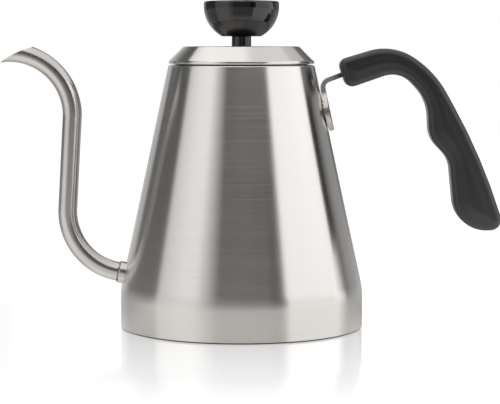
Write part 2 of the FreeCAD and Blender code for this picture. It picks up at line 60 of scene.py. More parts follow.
bpy.ops.object.select_all(action="DESELECT")
bpy.ops.object.camera_add(location=CAMERA_PLACE)
camera = bpy.context.object
camera.name = "camera"
camera.data.sensor_width = SENSOR_WIDTH
camera.data.lens = FOCAL_PIXELS * SENSOR_WIDTH / PHOTO_WIDTH
camera.rotation_euler = (math.radians(90) - math.radians(LOOKING_DOWN), 0, 0)
bpy.context.scene.camera = camera
print("lens", round(camera.data.lens, 1), "mm")

# %% [markdown]
# ## Tools for the finishes
# A material is a small tree of nodes. One function adds a node, sets its options and feeds its sockets, and
# another turns a colour as it is written for a screen into the linear light that Blender works with.

# %% Node and colour tools
def add(tree, kind, feeds=None, **options):
    """Add a node, set its options, and feed its sockets with values or with other nodes' outputs."""
    node = tree.nodes.new(kind)
    for option, value in options.items():
        setattr(node, option, value)
    for socket, value in (feeds or {}).items():
        if isinstance(value, bpy.types.NodeSocket):
            tree.links.new(value, node.inputs[socket])
        else:
            node.inputs[socket].default_value = value
    return node


def screen_colour(code):
    """Linear colour of an sRGB hex code."""
    shares = [int(code[place:place + 2], 16) / 255 for place in (1, 3, 5)]
    return [share / 12.92 if share <= 0.04045 else ((share + 0.055) / 1.055) ** 2.4 for share in shares] + [1.0]


def new_finish(name):
    """An empty material and its tree of nodes."""
    finish = bpy.data.materials.new(name)
    finish.use_nodes = True
    finish.node_tree.nodes.clear()
    return finish, finish.node_tree

# %% [markdown]
# ## Brushed stainless steel
# The body and the lid are stainless sheet that was brushed while it turned on a lathe, so the scratches run round
# the kettle. Light spreads across the scratches and stays sharp along them, which is why the studio's lights show
# as upright bands. Real scratches are about a tenth of a millimetre wide, too fine for this picture, and are drawn
# at 0.4 mm so that they show. The pattern reads the height less most of the distance from the axis, so it runs
# round the walls and round the flat lid alike.

# %% Brushed stainless steel
STEEL_PALE = "#DAD8D5"
STEEL_DEEP = "#D6D4D0"
SCRATCH_HEIGHT = 0.4
SCRATCH_LENGTH = 35
SHEEN_HEIGHT = 0.9
SHEEN_LENGTH = 90
AXIS_SHARE = -0.9
BRUSHED_LOW = 0.7
BRUSHED_HIGH = 1.3


def per_metre(millimetres):
    """How many repeats of a size in millimetres fit in a metre."""
    return 1000 / millimetres


def round_the_axis(tree, height, length):
    """A noise that is short up the wall and long round the kettle."""
    place = add(tree, "ShaderNodeTexCoord").outputs["Object"]
    split = add(tree, "ShaderNodeSeparateXYZ", {"Vector": place}).outputs
    across = add(tree, "ShaderNodeCombineXYZ", {"X": split["X"], "Y": split["Y"]})
    reach = add(tree, "ShaderNodeVectorMath", {0: across.outputs["Vector"]}, operation="LENGTH")
    lower = add(tree, "ShaderNodeMath", {0: reach.outputs["Value"], 1: AXIS_SHARE}, operation="MULTIPLY")
    climb = add(tree, "ShaderNodeMath", {0: split["Z"], 1: lower.outputs["Value"]}, operation="ADD")
    spot = add(tree, "ShaderNodeCombineXYZ", {"X": split["X"], "Y": split["Y"], "Z": climb.outputs["Value"]})
    scale = (per_metre(length), per_metre(length), per_metre(height))
    spread = add(tree, "ShaderNodeVectorMath", {0: spot.outputs["Vector"], 1: scale}, operation="MULTIPLY")
    return add(tree, "ShaderNodeTexNoise", {
        "Vector": spread.outputs["Vector"], "Scale": 1.0, "Detail": 3.0, "Roughness": 0.6}).outputs["Fac"]


def brushed_finish(name):
    """Steel brushed round the axis."""
    finish, tree = new_finish(name)
    scratches = round_the_axis(tree, SCRATCH_HEIGHT, SCRATCH_LENGTH)
    sheen = round_the_axis(tree, SHEEN_HEIGHT, SHEEN_LENGTH)
    both = add(tree, "ShaderNodeMath", {0: scratches, 1: sheen}, operation="ADD")
    span = {"Value": both.outputs["Value"], "From Min": BRUSHED_LOW, "From Max": BRUSHED_HIGH}
    shade = add(tree, "ShaderNodeMapRange", span)
    colour = add(tree, "ShaderNodeMix", {
        "Factor": shade.outputs["Result"], "A": screen_colour(STEEL_DEEP), "B": screen_colour(STEEL_PALE)},
        data_type="RGBA")
    roughness = add(tree, "ShaderNodeMapRange", {**span, "To Min": 0.195, "To Max": 0.233})
    relief = add(tree, "ShaderNodeBump", {"Height": scratches, "Strength": 0.04, "Distance": 0.00002})
    grain = add(tree, "ShaderNodeTangent", direction_type="RADIAL", axis="Z")
    shader = add(tree, "ShaderNodeBsdfPrincipled", {
        "Base Color": colour.outputs["Result"], "Roughness": roughness.outputs["Result"],
        "Normal": relief.outputs["Normal"], "Tangent": grain.outputs["Tangent"],
        "Metallic": 1.0, "Anisotropic": 0.92, "Anisotropic Rotation": 0.25})
    add(tree, "ShaderNodeOutputMaterial", {"Surface": shader.outputs["BSDF"]})
    print("finish:", finish.name)
    return finish, tree, shader


brushed_steel, _, _ = brushed_finish("brushed_stainless_steel")

# %% [markdown]
# ## Satin stainless steel
# The spout and the bracket are too bent to brush on a lathe. They were tumbled and polished to a satin, which has
# no direction: the same metal, with soft reflections and a faint cloudiness a few millimetres wide.

# %% Satin stainless steel
CLOUD_SIZE = 9
NOISE_LOW = 0.3
NOISE_HIGH = 0.7


def mottled(tree, pattern, colours, grain, roughness, feeds):
    """End a finish in a shader whose colour follows a pattern and whose roughness follows a grain."""
    colour = add(tree, "ShaderNodeMix", {
        "Factor": pattern, "A": screen_colour(colours[0]), "B": screen_colour(colours[1])}, data_type="RGBA")
    rough = add(tree, "ShaderNodeMapRange", {
        "Value": grain, "From Min": NOISE_LOW, "From Max": NOISE_HIGH,
        "To Min": roughness[0], "To Max": roughness[1]})
    shader = add(tree, "ShaderNodeBsdfPrincipled", {
        "Base Color": colour.outputs["Result"], "Roughness": rough.outputs["Result"], **feeds})
    add(tree, "ShaderNodeOutputMaterial", {"Surface": shader.outputs["BSDF"]})
    return shader


def satin_finish(name):
    """Steel polished to a satin without direction."""
    finish, tree = new_finish(name)
    place = add(tree, "ShaderNodeTexCoord").outputs["Object"]
    clouds = add(tree, "ShaderNodeTexNoise", {
        "Vector": place, "Scale": per_metre(CLOUD_SIZE), "Detail": 1.0}).outputs["Fac"]
    shader = mottled(tree, clouds, ("#C9C6C2", "#D1CFCC"), clouds, (0.225, 0.25), {"Metallic": 1.0})
    print("finish:", finish.name)
    return finish, tree, shader


satin_steel, _, _ = satin_finish("satin_stainless_steel")

# %% [markdown]
# ## Black plastics
# The grip is a heat-resistant moulded plastic with a fine spark-eroded grain that makes it matte. The real grain is
# too fine for this picture and is drawn at 0.7 mm so that it shows. The knob and its stem are phenolic resin, moulded
# in a polished tool, so they are nearly mirror smooth and only faintly wavy.

# %% Matte grip plastic
GRAIN_SIZE = 0.7
FLOW_SIZE = 22

grip_plastic, tree = new_finish("grained_black_polyamide")
place = add(tree, "ShaderNodeTexCoord").outputs["Object"]
texture = add(tree, "ShaderNodeTexNoise", {
    "Vector": place, "Scale": per_metre(GRAIN_SIZE), "Detail": 2.0}).outputs["Fac"]
flow = add(tree, "ShaderNodeTexNoise", {
    "Vector": place, "Scale": per_metre(FLOW_SIZE), "Detail": 3.0}).outputs["Fac"]
relief = add(tree, "ShaderNodeBump", {"Height": texture, "Strength": 0.15, "Distance": 0.00006})
mottled(tree, flow, ("#191919", "#212122"), texture, (0.32, 0.42), {
    "Normal": relief.outputs["Normal"], "IOR": 1.68, "Sheen Weight": 0.35, "Sheen Roughness": 0.3})
print("finish:", grip_plastic.name)

# %% Glossy knob resin
RIPPLE_SIZE = 9

knob_resin, tree = new_finish("polished_black_phenolic")
place = add(tree, "ShaderNodeTexCoord").outputs["Object"]
ripple = add(tree, "ShaderNodeTexNoise", {
    "Vector": place, "Scale": per_metre(RIPPLE_SIZE), "Detail": 2.0}).outputs["Fac"]
relief = add(tree, "ShaderNodeBump", {"Height": ripple, "Strength": 0.05, "Distance": 0.0002})
mottled(tree, ripple, ("#121110", "#181716"), ripple, (0.07, 0.11), {
    "Normal": relief.outputs["Normal"], "IOR": 1.65})
print("finish:", knob_resin.name)

# %% [markdown]
# ## Metals inside
# The screw and washer under the lid are zinc-coated steel, the insert in the knob is turned brass, and the disc in
# the base is cast aluminium. They are small or hidden, so their solids stay and only get a finish: turning marks
# round the axis in each metal's own colour, drawn a little coarse so that they show.

# %% Turned metals
def turned_metal(name, colours, mark, roughness):
    """A turned metal with fine marks round the kettle's axis."""
    finish, tree = new_finish(name)
    marks = round_the_axis(tree, mark, SCRATCH_LENGTH)
    mottled(tree, marks, colours, marks, roughness, {"Metallic": 1.0})
    print("finish:", finish.name)
    return finish


zinc_steel = turned_metal("zinc_coated_steel", ("#AEAFAE", "#C2C3C1"), mark=0.4, roughness=(0.24, 0.36))
turned_brass = turned_metal("turned_brass", ("#B4925A", "#CBAA70"), mark=0.3, roughness=(0.2, 0.3))
cast_aluminium = turned_metal("cast_aluminium", ("#C4C5C6", "#D6D7D8"), mark=0.8, roughness=(0.35, 0.5))

# %% [markdown]
# ## Tools for the shapes
# Nearly every piece starts as a line of corners in the plane of the spout and grip: one vertex is extruded along
# each straight and spun round each bend, just as sheet is bent. Sizes are written in millimetres and headings in
# degrees. A drawn line is then spun round the kettle's axis or raised, and dressed in its finish.

# %% Lines with bends
def mm(length):
    """A length in millimetres as Blender's metres."""
    return length / 1000


def along(heading, length):
    """A step in the plane of the spout."""
    return length * math.cos(math.radians(heading)), length * math.sin(math.radians(heading))


def move(point, step):
    """A point that is a step away."""
    return point[0] + step[0], point[1] + step[1]


def bent_path(start, legs):
    """Corners of straight legs with round bends: a leg is a heading, a length and the radius of the bend after it."""
    corner = start
    path = [start]
    for (heading, length, bend), (onward, *_) in zip(legs, legs[1:]):
        corner = move(corner, along(heading, length))
        turn = math.radians(onward) - math.radians(heading)
        setback = bend * math.tan(abs(turn) / 2)
        path.append(move(corner, along(heading, -setback)))
        path.append((*move(corner, along(onward, setback)), math.copysign(bend, turn)))
    heading, length = legs[-1]
    path.append(move(corner, along(heading, length)))
    return path

# %% Drawing tools
def only(piece=None):
    """Leave edit mode and select one piece, or nothing."""
    if bpy.context.mode != "OBJECT":
        bpy.ops.object.mode_set(mode="OBJECT")
    bpy.ops.object.select_all(action="DESELECT")
    if piece:
        piece.select_set(True)
        bpy.context.view_layer.objects.active = piece


def named(name):
    """Name the piece that was just added and its mesh, and apply its place and turn."""
    piece = bpy.context.object
    piece.name = piece.data.name = name
    bpy.ops.object.transform_apply(location=True, rotation=True, scale=False)
    return piece


def extrude_by(step):
    """Extrude what is selected by a step in the plane of the spout."""
    bpy.ops.mesh.extrude_region_move(TRANSFORM_OT_translate={"value": (mm(step[0]), 0, mm(step[1]))})


def spin_about(centre, turn, steps):
    """Spin what is selected round a centre in the plane of the spout, to the left for a positive turn."""
    bpy.ops.mesh.spin(
        steps=steps, angle=abs(turn), center=(mm(centre[0]), 0, mm(centre[1])),
        axis=(0, math.copysign(1, turn), 0))


def draw(name, corners, fineness=4):
    """Draw a line through the corners in steps of some degrees round each bend, and stay in edit mode."""
    only()
    bpy.ops.mesh.primitive_plane_add(size=mm(1), location=(mm(corners[0][0]), 0, mm(corners[0][1])))
    piece = named(name)
    bpy.ops.object.mode_set(mode="EDIT")
    bpy.ops.mesh.select_all(action="SELECT")
    bpy.ops.mesh.merge(type="CENTER")
    for (x, z, *_), (to_x, to_z, *bend) in zip(corners, corners[1:]):
        if not bend:
            extrude_by((to_x - x, to_z - z))
            continue
        radius = bend[0]
        chord = math.hypot(to_x - x, to_z - z)
        turn = 2 * math.asin(min(1, chord / 2 / abs(radius)))
        height = math.copysign(math.sqrt(max(radius ** 2 - chord ** 2 / 4, 0)), radius)
        centre_x = (x + to_x) / 2 - (to_z - z) / chord * height
        centre_z = (z + to_z) / 2 + (to_x - x) / chord * height
        steps = max(2, math.ceil(math.degrees(turn) / fineness))
        spin_about((centre_x, centre_z), math.copysign(turn, radius), steps)
    return piece

# %% Tools that make a line into a piece
ROUND_SIDES = 192
SEAM_REACH = 0.003


def flip(piece):
    """Turn all faces of a piece to their other side."""
    only(piece)
    bpy.ops.object.mode_set(mode="EDIT")
    bpy.ops.mesh.select_all(action="SELECT")
    bpy.ops.mesh.flip_normals()
    only(piece)


def spin_round(piece):
    """Spin a drawn section round the kettle's axis, close it, and turn its faces away from the axis."""
    bpy.ops.mesh.select_all(action="SELECT")
    bpy.ops.mesh.spin(steps=ROUND_SIDES, angle=math.radians(360), center=(0, 0, 0), axis=(0, 0, 1))
    bpy.ops.mesh.select_all(action="SELECT")
    bpy.ops.mesh.remove_doubles(threshold=mm(SEAM_REACH))
    bpy.ops.mesh.normals_make_consistent(inside=False)
    bpy.ops.object.mode_set(mode="OBJECT")
    if sum(face.area * face.normal.dot((*face.center.xy, 0)) for face in piece.data.polygons) <= 0:
        flip(piece)


def modify(piece, kind, **options):
    """Add a modifier, set it, and apply it."""
    only(piece)
    modifier = piece.modifiers.new(kind.lower(), kind)
    for option, value in options.items():
        setattr(modifier, option, value)
    bpy.ops.object.modifier_apply(modifier=modifier.name)


def thicken(piece, wall):
    """Give a sheet its wall, on the side that its faces turn away from."""
    modify(piece, "SOLIDIFY", thickness=mm(wall), offset=-1, use_even_offset=True)


def cut_away(piece, cutter):
    """Take a cutter's volume out of a piece and remove the cutter."""
    modify(piece, "BOOLEAN", object=cutter, operation="DIFFERENCE", solver="EXACT")
    bpy.data.objects.remove(cutter)


def dress(piece, body, slot, finish, *nodes, angle=32):
    """Smooth a finished piece, give it its finish, and let it stand in for its solids."""
    only(piece)
    bpy.ops.object.shade_smooth_by_angle(angle=math.radians(angle))
    modify(piece, "WEIGHTED_NORMAL", keep_sharp=True)
    piece.data.materials.clear()
    piece.data.materials.append(finish)
    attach(piece, body)
    if nodes:
        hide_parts(*nodes)
    print(piece.name, len(piece.data.polygons), "faces")

# %% [markdown]
# ## Body
# The real body is one sheet, spun over a form: a straight band at the foot, a soft blend into a cone, and a mouth
# whose edge is rolled in and down. One line with four legs is its outer face. It is spun round the axis and then
# given the sheet's thickness, and the hole for the spout is cut last.

# %% Body
BASE_RADIUS = 70.0
BAND_HEIGHT = 22.0
BAND_BLEND = 40
CONE_ANGLE = 12.23
BODY_HEIGHT = 151.1
FOOT_GAP = 0.8
RIM_ROUND = 1.0
MOUTH_INSET = 3.6
MOUTH_ROUND = 1.6
MOUTH_DEPTH = 6
SHELL_WALL = 0.8

cone_slope = math.tan(math.radians(CONE_ANGLE))
cone_heading = 90 + CONE_ANGLE


def cone_radius(height):
    """Outer radius of the cone at a height."""
    return BASE_RADIUS - (height - BAND_HEIGHT) * cone_slope


cone_length = (BODY_HEIGHT - BAND_HEIGHT) / math.cos(math.radians(CONE_ANGLE))
rim_radius = cone_radius(BODY_HEIGHT)
mouth_radius = rim_radius - MOUTH_INSET
body = draw("kettle_body", bent_path((BASE_RADIUS, FOOT_GAP), [
    (90, BAND_HEIGHT - FOOT_GAP, BAND_BLEND),
    (cone_heading, cone_length, RIM_ROUND),
    (180, MOUTH_INSET, MOUTH_ROUND),
    (270, MOUTH_DEPTH),
]), fineness=2)
spin_round(body)
thicken(body, SHELL_WALL)
print("mouth radius", round(mouth_radius, 2), "rim radius", round(rim_radius, 2))

# %% Spout hole
SPOUT_HEIGHT = 30.8
SPOUT_ANGLE = 11.3
TUBE_RADIUS = 5.5
TUBE_SIDES = 64
HOLE_DEPTH = 13.2
SEAT_GAP = 0.05

spout_root = (-cone_radius(SPOUT_HEIGHT), SPOUT_HEIGHT)
tube_tilt = math.radians(SPOUT_ANGLE - 90)
only()
bpy.ops.mesh.primitive_cylinder_add(
    vertices=TUBE_SIDES, radius=mm(TUBE_RADIUS + SEAT_GAP), depth=mm(HOLE_DEPTH),
    location=(mm(spout_root[0]), 0, mm(spout_root[1])), rotation=(0, tube_tilt, 0))
cut_away(body, bpy.context.object)
dress(body, "kettle", "brushed_steel", brushed_steel, "body_shell")

# %% [markdown]
# ## Base
# The floor of the water chamber is a shallow pan welded into the shell, and a thin cap under it holds the disc that
# spreads the heat. The shell's edge ends just above the table, which leaves the fine dark line under the kettle. The
# table under the foot is painted dark, so the line is partly painted shadow.

# %% Base
PAN_HEIGHT = 4.8
PAN_BEND = 3
PAN_EDGE = 9
PAN_WALL = 0.7
CAP_INSET = 3.5
CAP_BEND = 2.2
CAP_WALL = 0.6

pan = draw("chamber_floor", bent_path((0, PAN_HEIGHT), [
    (0, BASE_RADIUS - SHELL_WALL - SEAT_GAP, PAN_BEND), (90, PAN_EDGE)]))
spin_round(pan)
thicken(pan, PAN_WALL)
dress(pan, "kettle", "brushed_steel", brushed_steel, "base_pan")
cap = draw("base_disc", bent_path((0, 0), [
    (0, BASE_RADIUS - CAP_INSET, CAP_BEND), (90, PAN_HEIGHT - SEAT_GAP)]))
spin_round(cap)
thicken(cap, CAP_WALL)
dress(cap, "kettle", "brushed_steel", brushed_steel, "base_cap")

# %% [markdown]
# ## Spout
# The gooseneck is one tube in two bends. A ring is extruded out of the shell, spun round the first bend, extruded
# up the riser and spun round the second bend, exactly as a tube bender works. The tip is cut on a slant that is a
# little rounded, so that the lower lip pours.

# %% Spout tube
ROOT_INSIDE = 2.2
ROOT_RUN = 4.3
LOWER_BEND = 35.3
LOWER_STEPS = 48
RISER_LENGTH = 52.1
RISER_LEAN = 3.25
UPPER_BEND = 36.0
UPPER_STEPS = 72
TIP_OVERRUN = 10.0


def beside(point, heading, distance):
    """A point to the left of a heading, or to the right where the distance is negative."""
    return point[0] - along(heading, distance)[1], point[1] + along(heading, distance)[0]


root_heading = 180 - SPOUT_ANGLE
riser_heading = 90 - RISER_LEAN
start = move(spout_root, along(root_heading, -ROOT_INSIDE))
only()
bpy.ops.mesh.primitive_circle_add(
    vertices=TUBE_SIDES, radius=mm(TUBE_RADIUS), location=(mm(start[0]), 0, mm(start[1])),
    rotation=(0, tube_tilt, 0))
spout = named("gooseneck_tube")
bpy.ops.object.mode_set(mode="EDIT")
bpy.ops.mesh.select_all(action="SELECT")
extrude_by(along(root_heading, ROOT_INSIDE + ROOT_RUN))
lower_start = move(spout_root, along(root_heading, ROOT_RUN))
lower_centre = beside(lower_start, root_heading, -LOWER_BEND)
spin_about(lower_centre, math.radians(riser_heading - root_heading), LOWER_STEPS)
extrude_by(along(riser_heading, RISER_LENGTH))
riser_end = move(beside(lower_centre, riser_heading, LOWER_BEND), along(riser_heading, RISER_LENGTH))
upper_centre = beside(riser_end, riser_heading, UPPER_BEND)
spin_about(upper_centre, math.radians(180 + 2 * TIP_OVERRUN - riser_heading), UPPER_STEPS)
bpy.ops.mesh.select_all(action="SELECT")
bpy.ops.mesh.normals_make_consistent(inside=False)
only(spout)
print("riser ends at", [round(number, 1) for number in riser_end])

# %% Spout tip
TUBE_WALL = 0.8
TIP_SLOPE = 35.4
TIP_CURVE = 61.0
BLADE_AHEAD = 35
BLADE_BEHIND = 12
BLADE_HEIGHT = 30
BLADE_BACK = 20
BLADE_WIDTH = 30


def fill_and_raise(width):
    """Fill a drawn outline and raise it to a width, half of it to each side."""
    bpy.ops.mesh.select_all(action="SELECT")
    bpy.ops.mesh.edge_face_add()
    bpy.ops.mesh.extrude_region_move(TRANSFORM_OT_translate={"value": (0, mm(width), 0)})
    bpy.ops.mesh.select_all(action="SELECT")
    bpy.ops.transform.translate(value=(0, mm(-width / 2), 0))
    bpy.ops.mesh.normals_make_consistent(inside=False)
    only()


thicken(spout, TUBE_WALL)
lip = beside(upper_centre, 180 + TIP_OVERRUN, -(UPPER_BEND - TUBE_RADIUS))
blade_centre = beside(lip, TIP_SLOPE, -TIP_CURVE)
blade_end = beside(blade_centre, TIP_SLOPE - BLADE_AHEAD, TIP_CURVE)
blade_start = beside(blade_centre, TIP_SLOPE + BLADE_BEHIND, TIP_CURVE)
blade = draw("tip_blade", [
    blade_start, (*blade_end, -TIP_CURVE), move(blade_end, (0, BLADE_HEIGHT)),
    move(blade_start, (-BLADE_BACK, BLADE_HEIGHT)), move(blade_start, (-BLADE_BACK, 0))], fineness=1)
fill_and_raise(BLADE_WIDTH)
cut_away(spout, blade)
dress(spout, "kettle", "satin_steel", satin_steel, "spout_tube")
print("lip at", [round(number, 1) for number in lip])

# %% [markdown]
# ## Spout collar
# A small ring covers the joint between the tube and the shell, and the bead where it was brazed to the tube shows
# as an uneven line, darkened in spots by the torch. The ring's section is drawn on the kettle's axis, where spinning
# is easiest, and the finished ring is then laid on the tube. The bead is a torus roughened by a fine noise.

# %% Spout collar
COLLAR_RADIUS = 6.3
COLLAR_LENGTH = 3.0
COLLAR_INSIDE = 0.5
COLLAR_FOOT_ROUND = 0.2
COLLAR_ROUND = 0.6


def lay_on_tube(piece, distance):
    """Turn a piece from the kettle's axis onto the spout's root, at a distance from the shell."""
    only(piece)
    place = move(spout_root, along(root_heading, distance))
    piece.rotation_euler = (0, tube_tilt, 0)
    piece.location = (mm(place[0]), 0, mm(place[1]))
    bpy.ops.object.transform_apply(location=True, rotation=True, scale=False)


collar_width = COLLAR_RADIUS - TUBE_RADIUS
collar = draw("spout_collar_ring", bent_path((TUBE_RADIUS, -COLLAR_INSIDE), [
    (0, collar_width, COLLAR_FOOT_ROUND),
    (90, COLLAR_LENGTH + COLLAR_INSIDE, COLLAR_ROUND),
    (180, collar_width),
]), fineness=15)
spin_round(collar)
lay_on_tube(collar, 0)
dress(collar, "kettle", "satin_steel", satin_steel, "spout_collar")

# %% Braze bead
BEAD_RADIUS = 0.6
BEAD_OFFSET = 0.1
LUMP_SIZE = 1.1
LUMP_HEIGHT = 0.8
BEAD_SPOTS = 1.3

only()
bpy.ops.mesh.primitive_torus_add(
    major_segments=120, minor_segments=12, major_radius=mm(TUBE_RADIUS + BEAD_OFFSET),
    minor_radius=mm(BEAD_RADIUS))
bead = named("collar_bead")
lumps = bpy.data.textures.new("bead_lumps", "CLOUDS")
lumps.noise_scale = mm(LUMP_SIZE)
modify(bead, "DISPLACE", texture=lumps, strength=mm(LUMP_HEIGHT), mid_level=0.5)
lay_on_tube(bead, COLLAR_LENGTH + BEAD_OFFSET)
brazed_bead, tree = new_finish("heat_tinted_braze")
place = add(tree, "ShaderNodeTexCoord").outputs["Object"]
spots = add(tree, "ShaderNodeTexNoise", {"Vector": place, "Scale": per_metre(BEAD_SPOTS), "Detail": 1.0})
shade = add(tree, "ShaderNodeMapRange", {"Value": spots.outputs["Fac"], "From Min": 0.4, "From Max": 0.6})
colour = add(tree, "ShaderNodeMix", {
    "Factor": shade.outputs["Result"], "A": screen_colour("#4A4541"), "B": screen_colour("#BDB9B4")},
    data_type="RGBA")
shader = add(tree, "ShaderNodeBsdfPrincipled", {
    "Base Color": colour.outputs["Result"], "Roughness": 0.3, "Metallic": 1.0})
add(tree, "ShaderNodeOutputMaterial", {"Surface": shader.outputs["BSDF"]})
dress(bead, "kettle", "satin_steel", brazed_bead, angle=60)

# %% [markdown]
# ## Handle bracket
# The bracket is one strap: an oval paddle that follows the cone, welded on three buttons so that a dark gap stays
# behind it, then a bend, and a tang that runs into the grip. A row of vertices is pulled along the strap's path and
# stretched to its width at each step, laid on the cone where the paddle is, and then given its thickness and rounded
# edges. Where the strap enters the grip its colour is darkened. That is painted shade, standing in for the grip's
# shadow and dark reflection on it.

# %% Widths of the paddle and its neck
PADDLE_RADIUS = 10.5
PADDLE_BOTTOM = 113.0
PADDLE_HEIGHT = 24.2
PADDLE_FIRST = 12
PADDLE_STEP = 6
NECK_HALF = 4.5
NECK_STEPS = 8

rows = []
for degrees in range(PADDLE_FIRST, 90, PADDLE_STEP):
    angle = math.radians(degrees)
    rows.append((PADDLE_BOTTOM + PADDLE_RADIUS * (1 - math.cos(angle)), PADDLE_RADIUS * math.sin(angle)))
neck_start = PADDLE_BOTTOM + PADDLE_RADIUS
neck_end = PADDLE_BOTTOM + PADDLE_HEIGHT
for step in range(NECK_STEPS + 1):
    ease = (1 - math.cos(math.pi * step / NECK_STEPS)) / 2
    height = neck_start + (neck_end - neck_start) * step / NECK_STEPS
    rows.append((height, PADDLE_RADIUS + (NECK_HALF - PADDLE_RADIUS) * ease))
print("paddle and neck in", len(rows), "rows")

# %% Paddle
WELD_GAP = 0.7
ROW_CUTS = 9


def off_cone(height):
    """The strap's inner face at a height on the cone."""
    return cone_radius(height) + WELD_GAP / math.cos(math.radians(CONE_ANGLE)), height


height, half = rows[0]
first = off_cone(height)
only()
bpy.ops.mesh.primitive_plane_add(size=mm(2 * half), location=(mm(first[0]), 0, mm(first[1])))
bracket = named("bracket_strap")
bpy.ops.object.mode_set(mode="EDIT")
bpy.ops.mesh.select_all(action="DESELECT")
bpy.ops.object.mode_set(mode="OBJECT")
for vertex in bracket.data.vertices:
    vertex.select = vertex.co.x > mm(first[0])
bpy.ops.object.mode_set(mode="EDIT")
bpy.ops.mesh.delete(type="VERT")
bpy.ops.mesh.select_all(action="SELECT")
bpy.ops.transform.translate(value=(mm(half), 0, 0))
bpy.ops.mesh.subdivide(number_cuts=ROW_CUTS)
for next_height, next_half in rows[1:]:
    extrude_by((off_cone(next_height)[0] - off_cone(height)[0], next_height - height))
    bpy.ops.transform.resize(value=(1, next_half / half, 1), center_override=(0, 0, 0))
    height, half = next_height, next_half
print("paddle up to", round(height, 1), "mm")

# %% Strap and tang
BEND_HEIGHT = 142.0
STRAP_BEND = 5.6
STRAP_BEND_STEPS = 16
STRAP_RISE = 21.0
STRAP_RUN = 36.0
TANG_BEND = 30.0
TANG_BEND_STEPS = 10
TANG_FALL = 20.0
TANG_LENGTH = 22.0

bend_corner = off_cone(BEND_HEIGHT)
strap_turn = math.radians(STRAP_RISE - cone_heading)
setback = STRAP_BEND * math.tan(-strap_turn / 2)
bend_start = move(bend_corner, along(cone_heading, -setback))
extrude_by((bend_start[0] - off_cone(height)[0], bend_start[1] - height))
spin_about(beside(bend_start, cone_heading, -STRAP_BEND), strap_turn, STRAP_BEND_STEPS)
bend_end = move(bend_corner, along(STRAP_RISE, setback))
tang_turn = math.radians(-TANG_FALL - STRAP_RISE)
tang_setback = TANG_BEND * math.tan(-tang_turn / 2)
strap_step = along(STRAP_RISE, STRAP_RUN - setback - tang_setback)
extrude_by(strap_step)
tang_start = move(bend_end, strap_step)
spin_about(beside(tang_start, STRAP_RISE, -TANG_BEND), tang_turn, TANG_BEND_STEPS)
extrude_by(along(-TANG_FALL, TANG_LENGTH - tang_setback))
only(bracket)
print("tang bends at", [round(number, 1) for number in tang_start])

# %% Strap laid on the cone
STRAP_THICKNESS = 2.6
STRAP_EDGE = 0.9
STRAP_EDGE_STEPS = 4
SHARP_ANGLE = 50
PADDLE_REACH = 1


def round_edges(piece, radius, steps):
    """Round the sharp edges of a piece."""
    modify(piece, "BEVEL", width=mm(radius), segments=steps, limit_method="ANGLE",
           angle_limit=math.radians(SHARP_ANGLE))


for vertex in bracket.data.vertices:
    height = vertex.co.z * 1000
    radius = mm(cone_radius(height))
    follow = min(1, max(0, (bend_start[1] - height) / (bend_start[1] - neck_end)))
    if vertex.co.x < mm(first[0] + PADDLE_REACH):
        vertex.co.x -= follow * (radius - math.sqrt(radius ** 2 - vertex.co.y ** 2))
bpy.ops.object.mode_set(mode="EDIT")
bpy.ops.mesh.select_all(action="SELECT")
bpy.ops.mesh.normals_make_consistent(inside=False)
only(bracket)
lowest = max(bracket.data.polygons, key=lambda face: -face.center.z)
if lowest.normal.x > 0:
    flip(bracket)
thicken(bracket, STRAP_THICKNESS)
round_edges(bracket, STRAP_EDGE, STRAP_EDGE_STEPS)
print("strap", STRAP_THICKNESS, "mm thick")

# %% Painted shade at the strap's end
GRIP_SHADE_START = 51.8
GRIP_SHADE_END = 56.5


def paint_shade(tree, shader, axis, start, end, code):
    """Paint shade into a finish: change its colour along an axis, from not at all at the start to fully at the end.
    """
    split = add(tree, "ShaderNodeSeparateXYZ", {"Vector": add(tree, "ShaderNodeTexCoord").outputs["Object"]})
    share = add(tree, "ShaderNodeMapRange", {
        "Value": split.outputs[axis], "From Min": mm(start), "From Max": mm(end)})
    plain = shader.inputs["Base Color"].links[0].from_socket
    colour = add(tree, "ShaderNodeMix", {
        "Factor": share.outputs["Result"], "A": plain, "B": screen_colour(code)}, data_type="RGBA")
    tree.links.new(colour.outputs["Result"], shader.inputs["Base Color"])


# Painted shade: the strap's colour darkens towards the grip, for the grip's shadow and dark reflection. The steel
# itself is not darker there.
strap_steel_with_painted_shade, tree, shader = satin_finish("strap_with_painted_grip_shade")
paint_shade(tree, shader, "X", GRIP_SHADE_START, GRIP_SHADE_END, "#625F5D")
dress(bracket, "kettle", "satin_steel", strap_steel_with_painted_shade, "handle_bracket", angle=40)

# %% [markdown]
# ## Grip
# The grip is moulded round the tang. Its side outline is a chain of gentle bends: a crown over the heel, a long
# back, a rounded tail, and two swells on the finger side. The outline is drawn once, filled, raised to the grip's
# thickness, and rounded all along its rims. A fine skin of small, even faces then takes the place of its large ones,
# so that the sides can be raised to a low crown in the middle and smoothed.

# %% Outline of the grip
GRIP_START = 13.6
HEEL_BACK = 2.95
HEEL_RISE = 8.0
HEEL_TOP_ROUND = 4.6
GRIP_LEGS = [
    (16.8, 33.1, 29.9),  # crown
    (-32.6, 28.4, 57.6),  # shoulder
    (-60.6, 57.5, 330.0),  # back
    (-72.4, 43.8, 6.2),  # tail
    (-178.5, 28.5, 19.3),  # end of the tail
    (-264.3, 41.9, 15.4),  # little finger
    (-226.7, 17.0, 16.5),  # rise between the fingers
    (-267.2, 21.8, 26.2),  # middle finger
    (-227.1, 23.0, 15.3),  # first finger
    (-160.8, 32.3, 5.0),  # under the heel
]

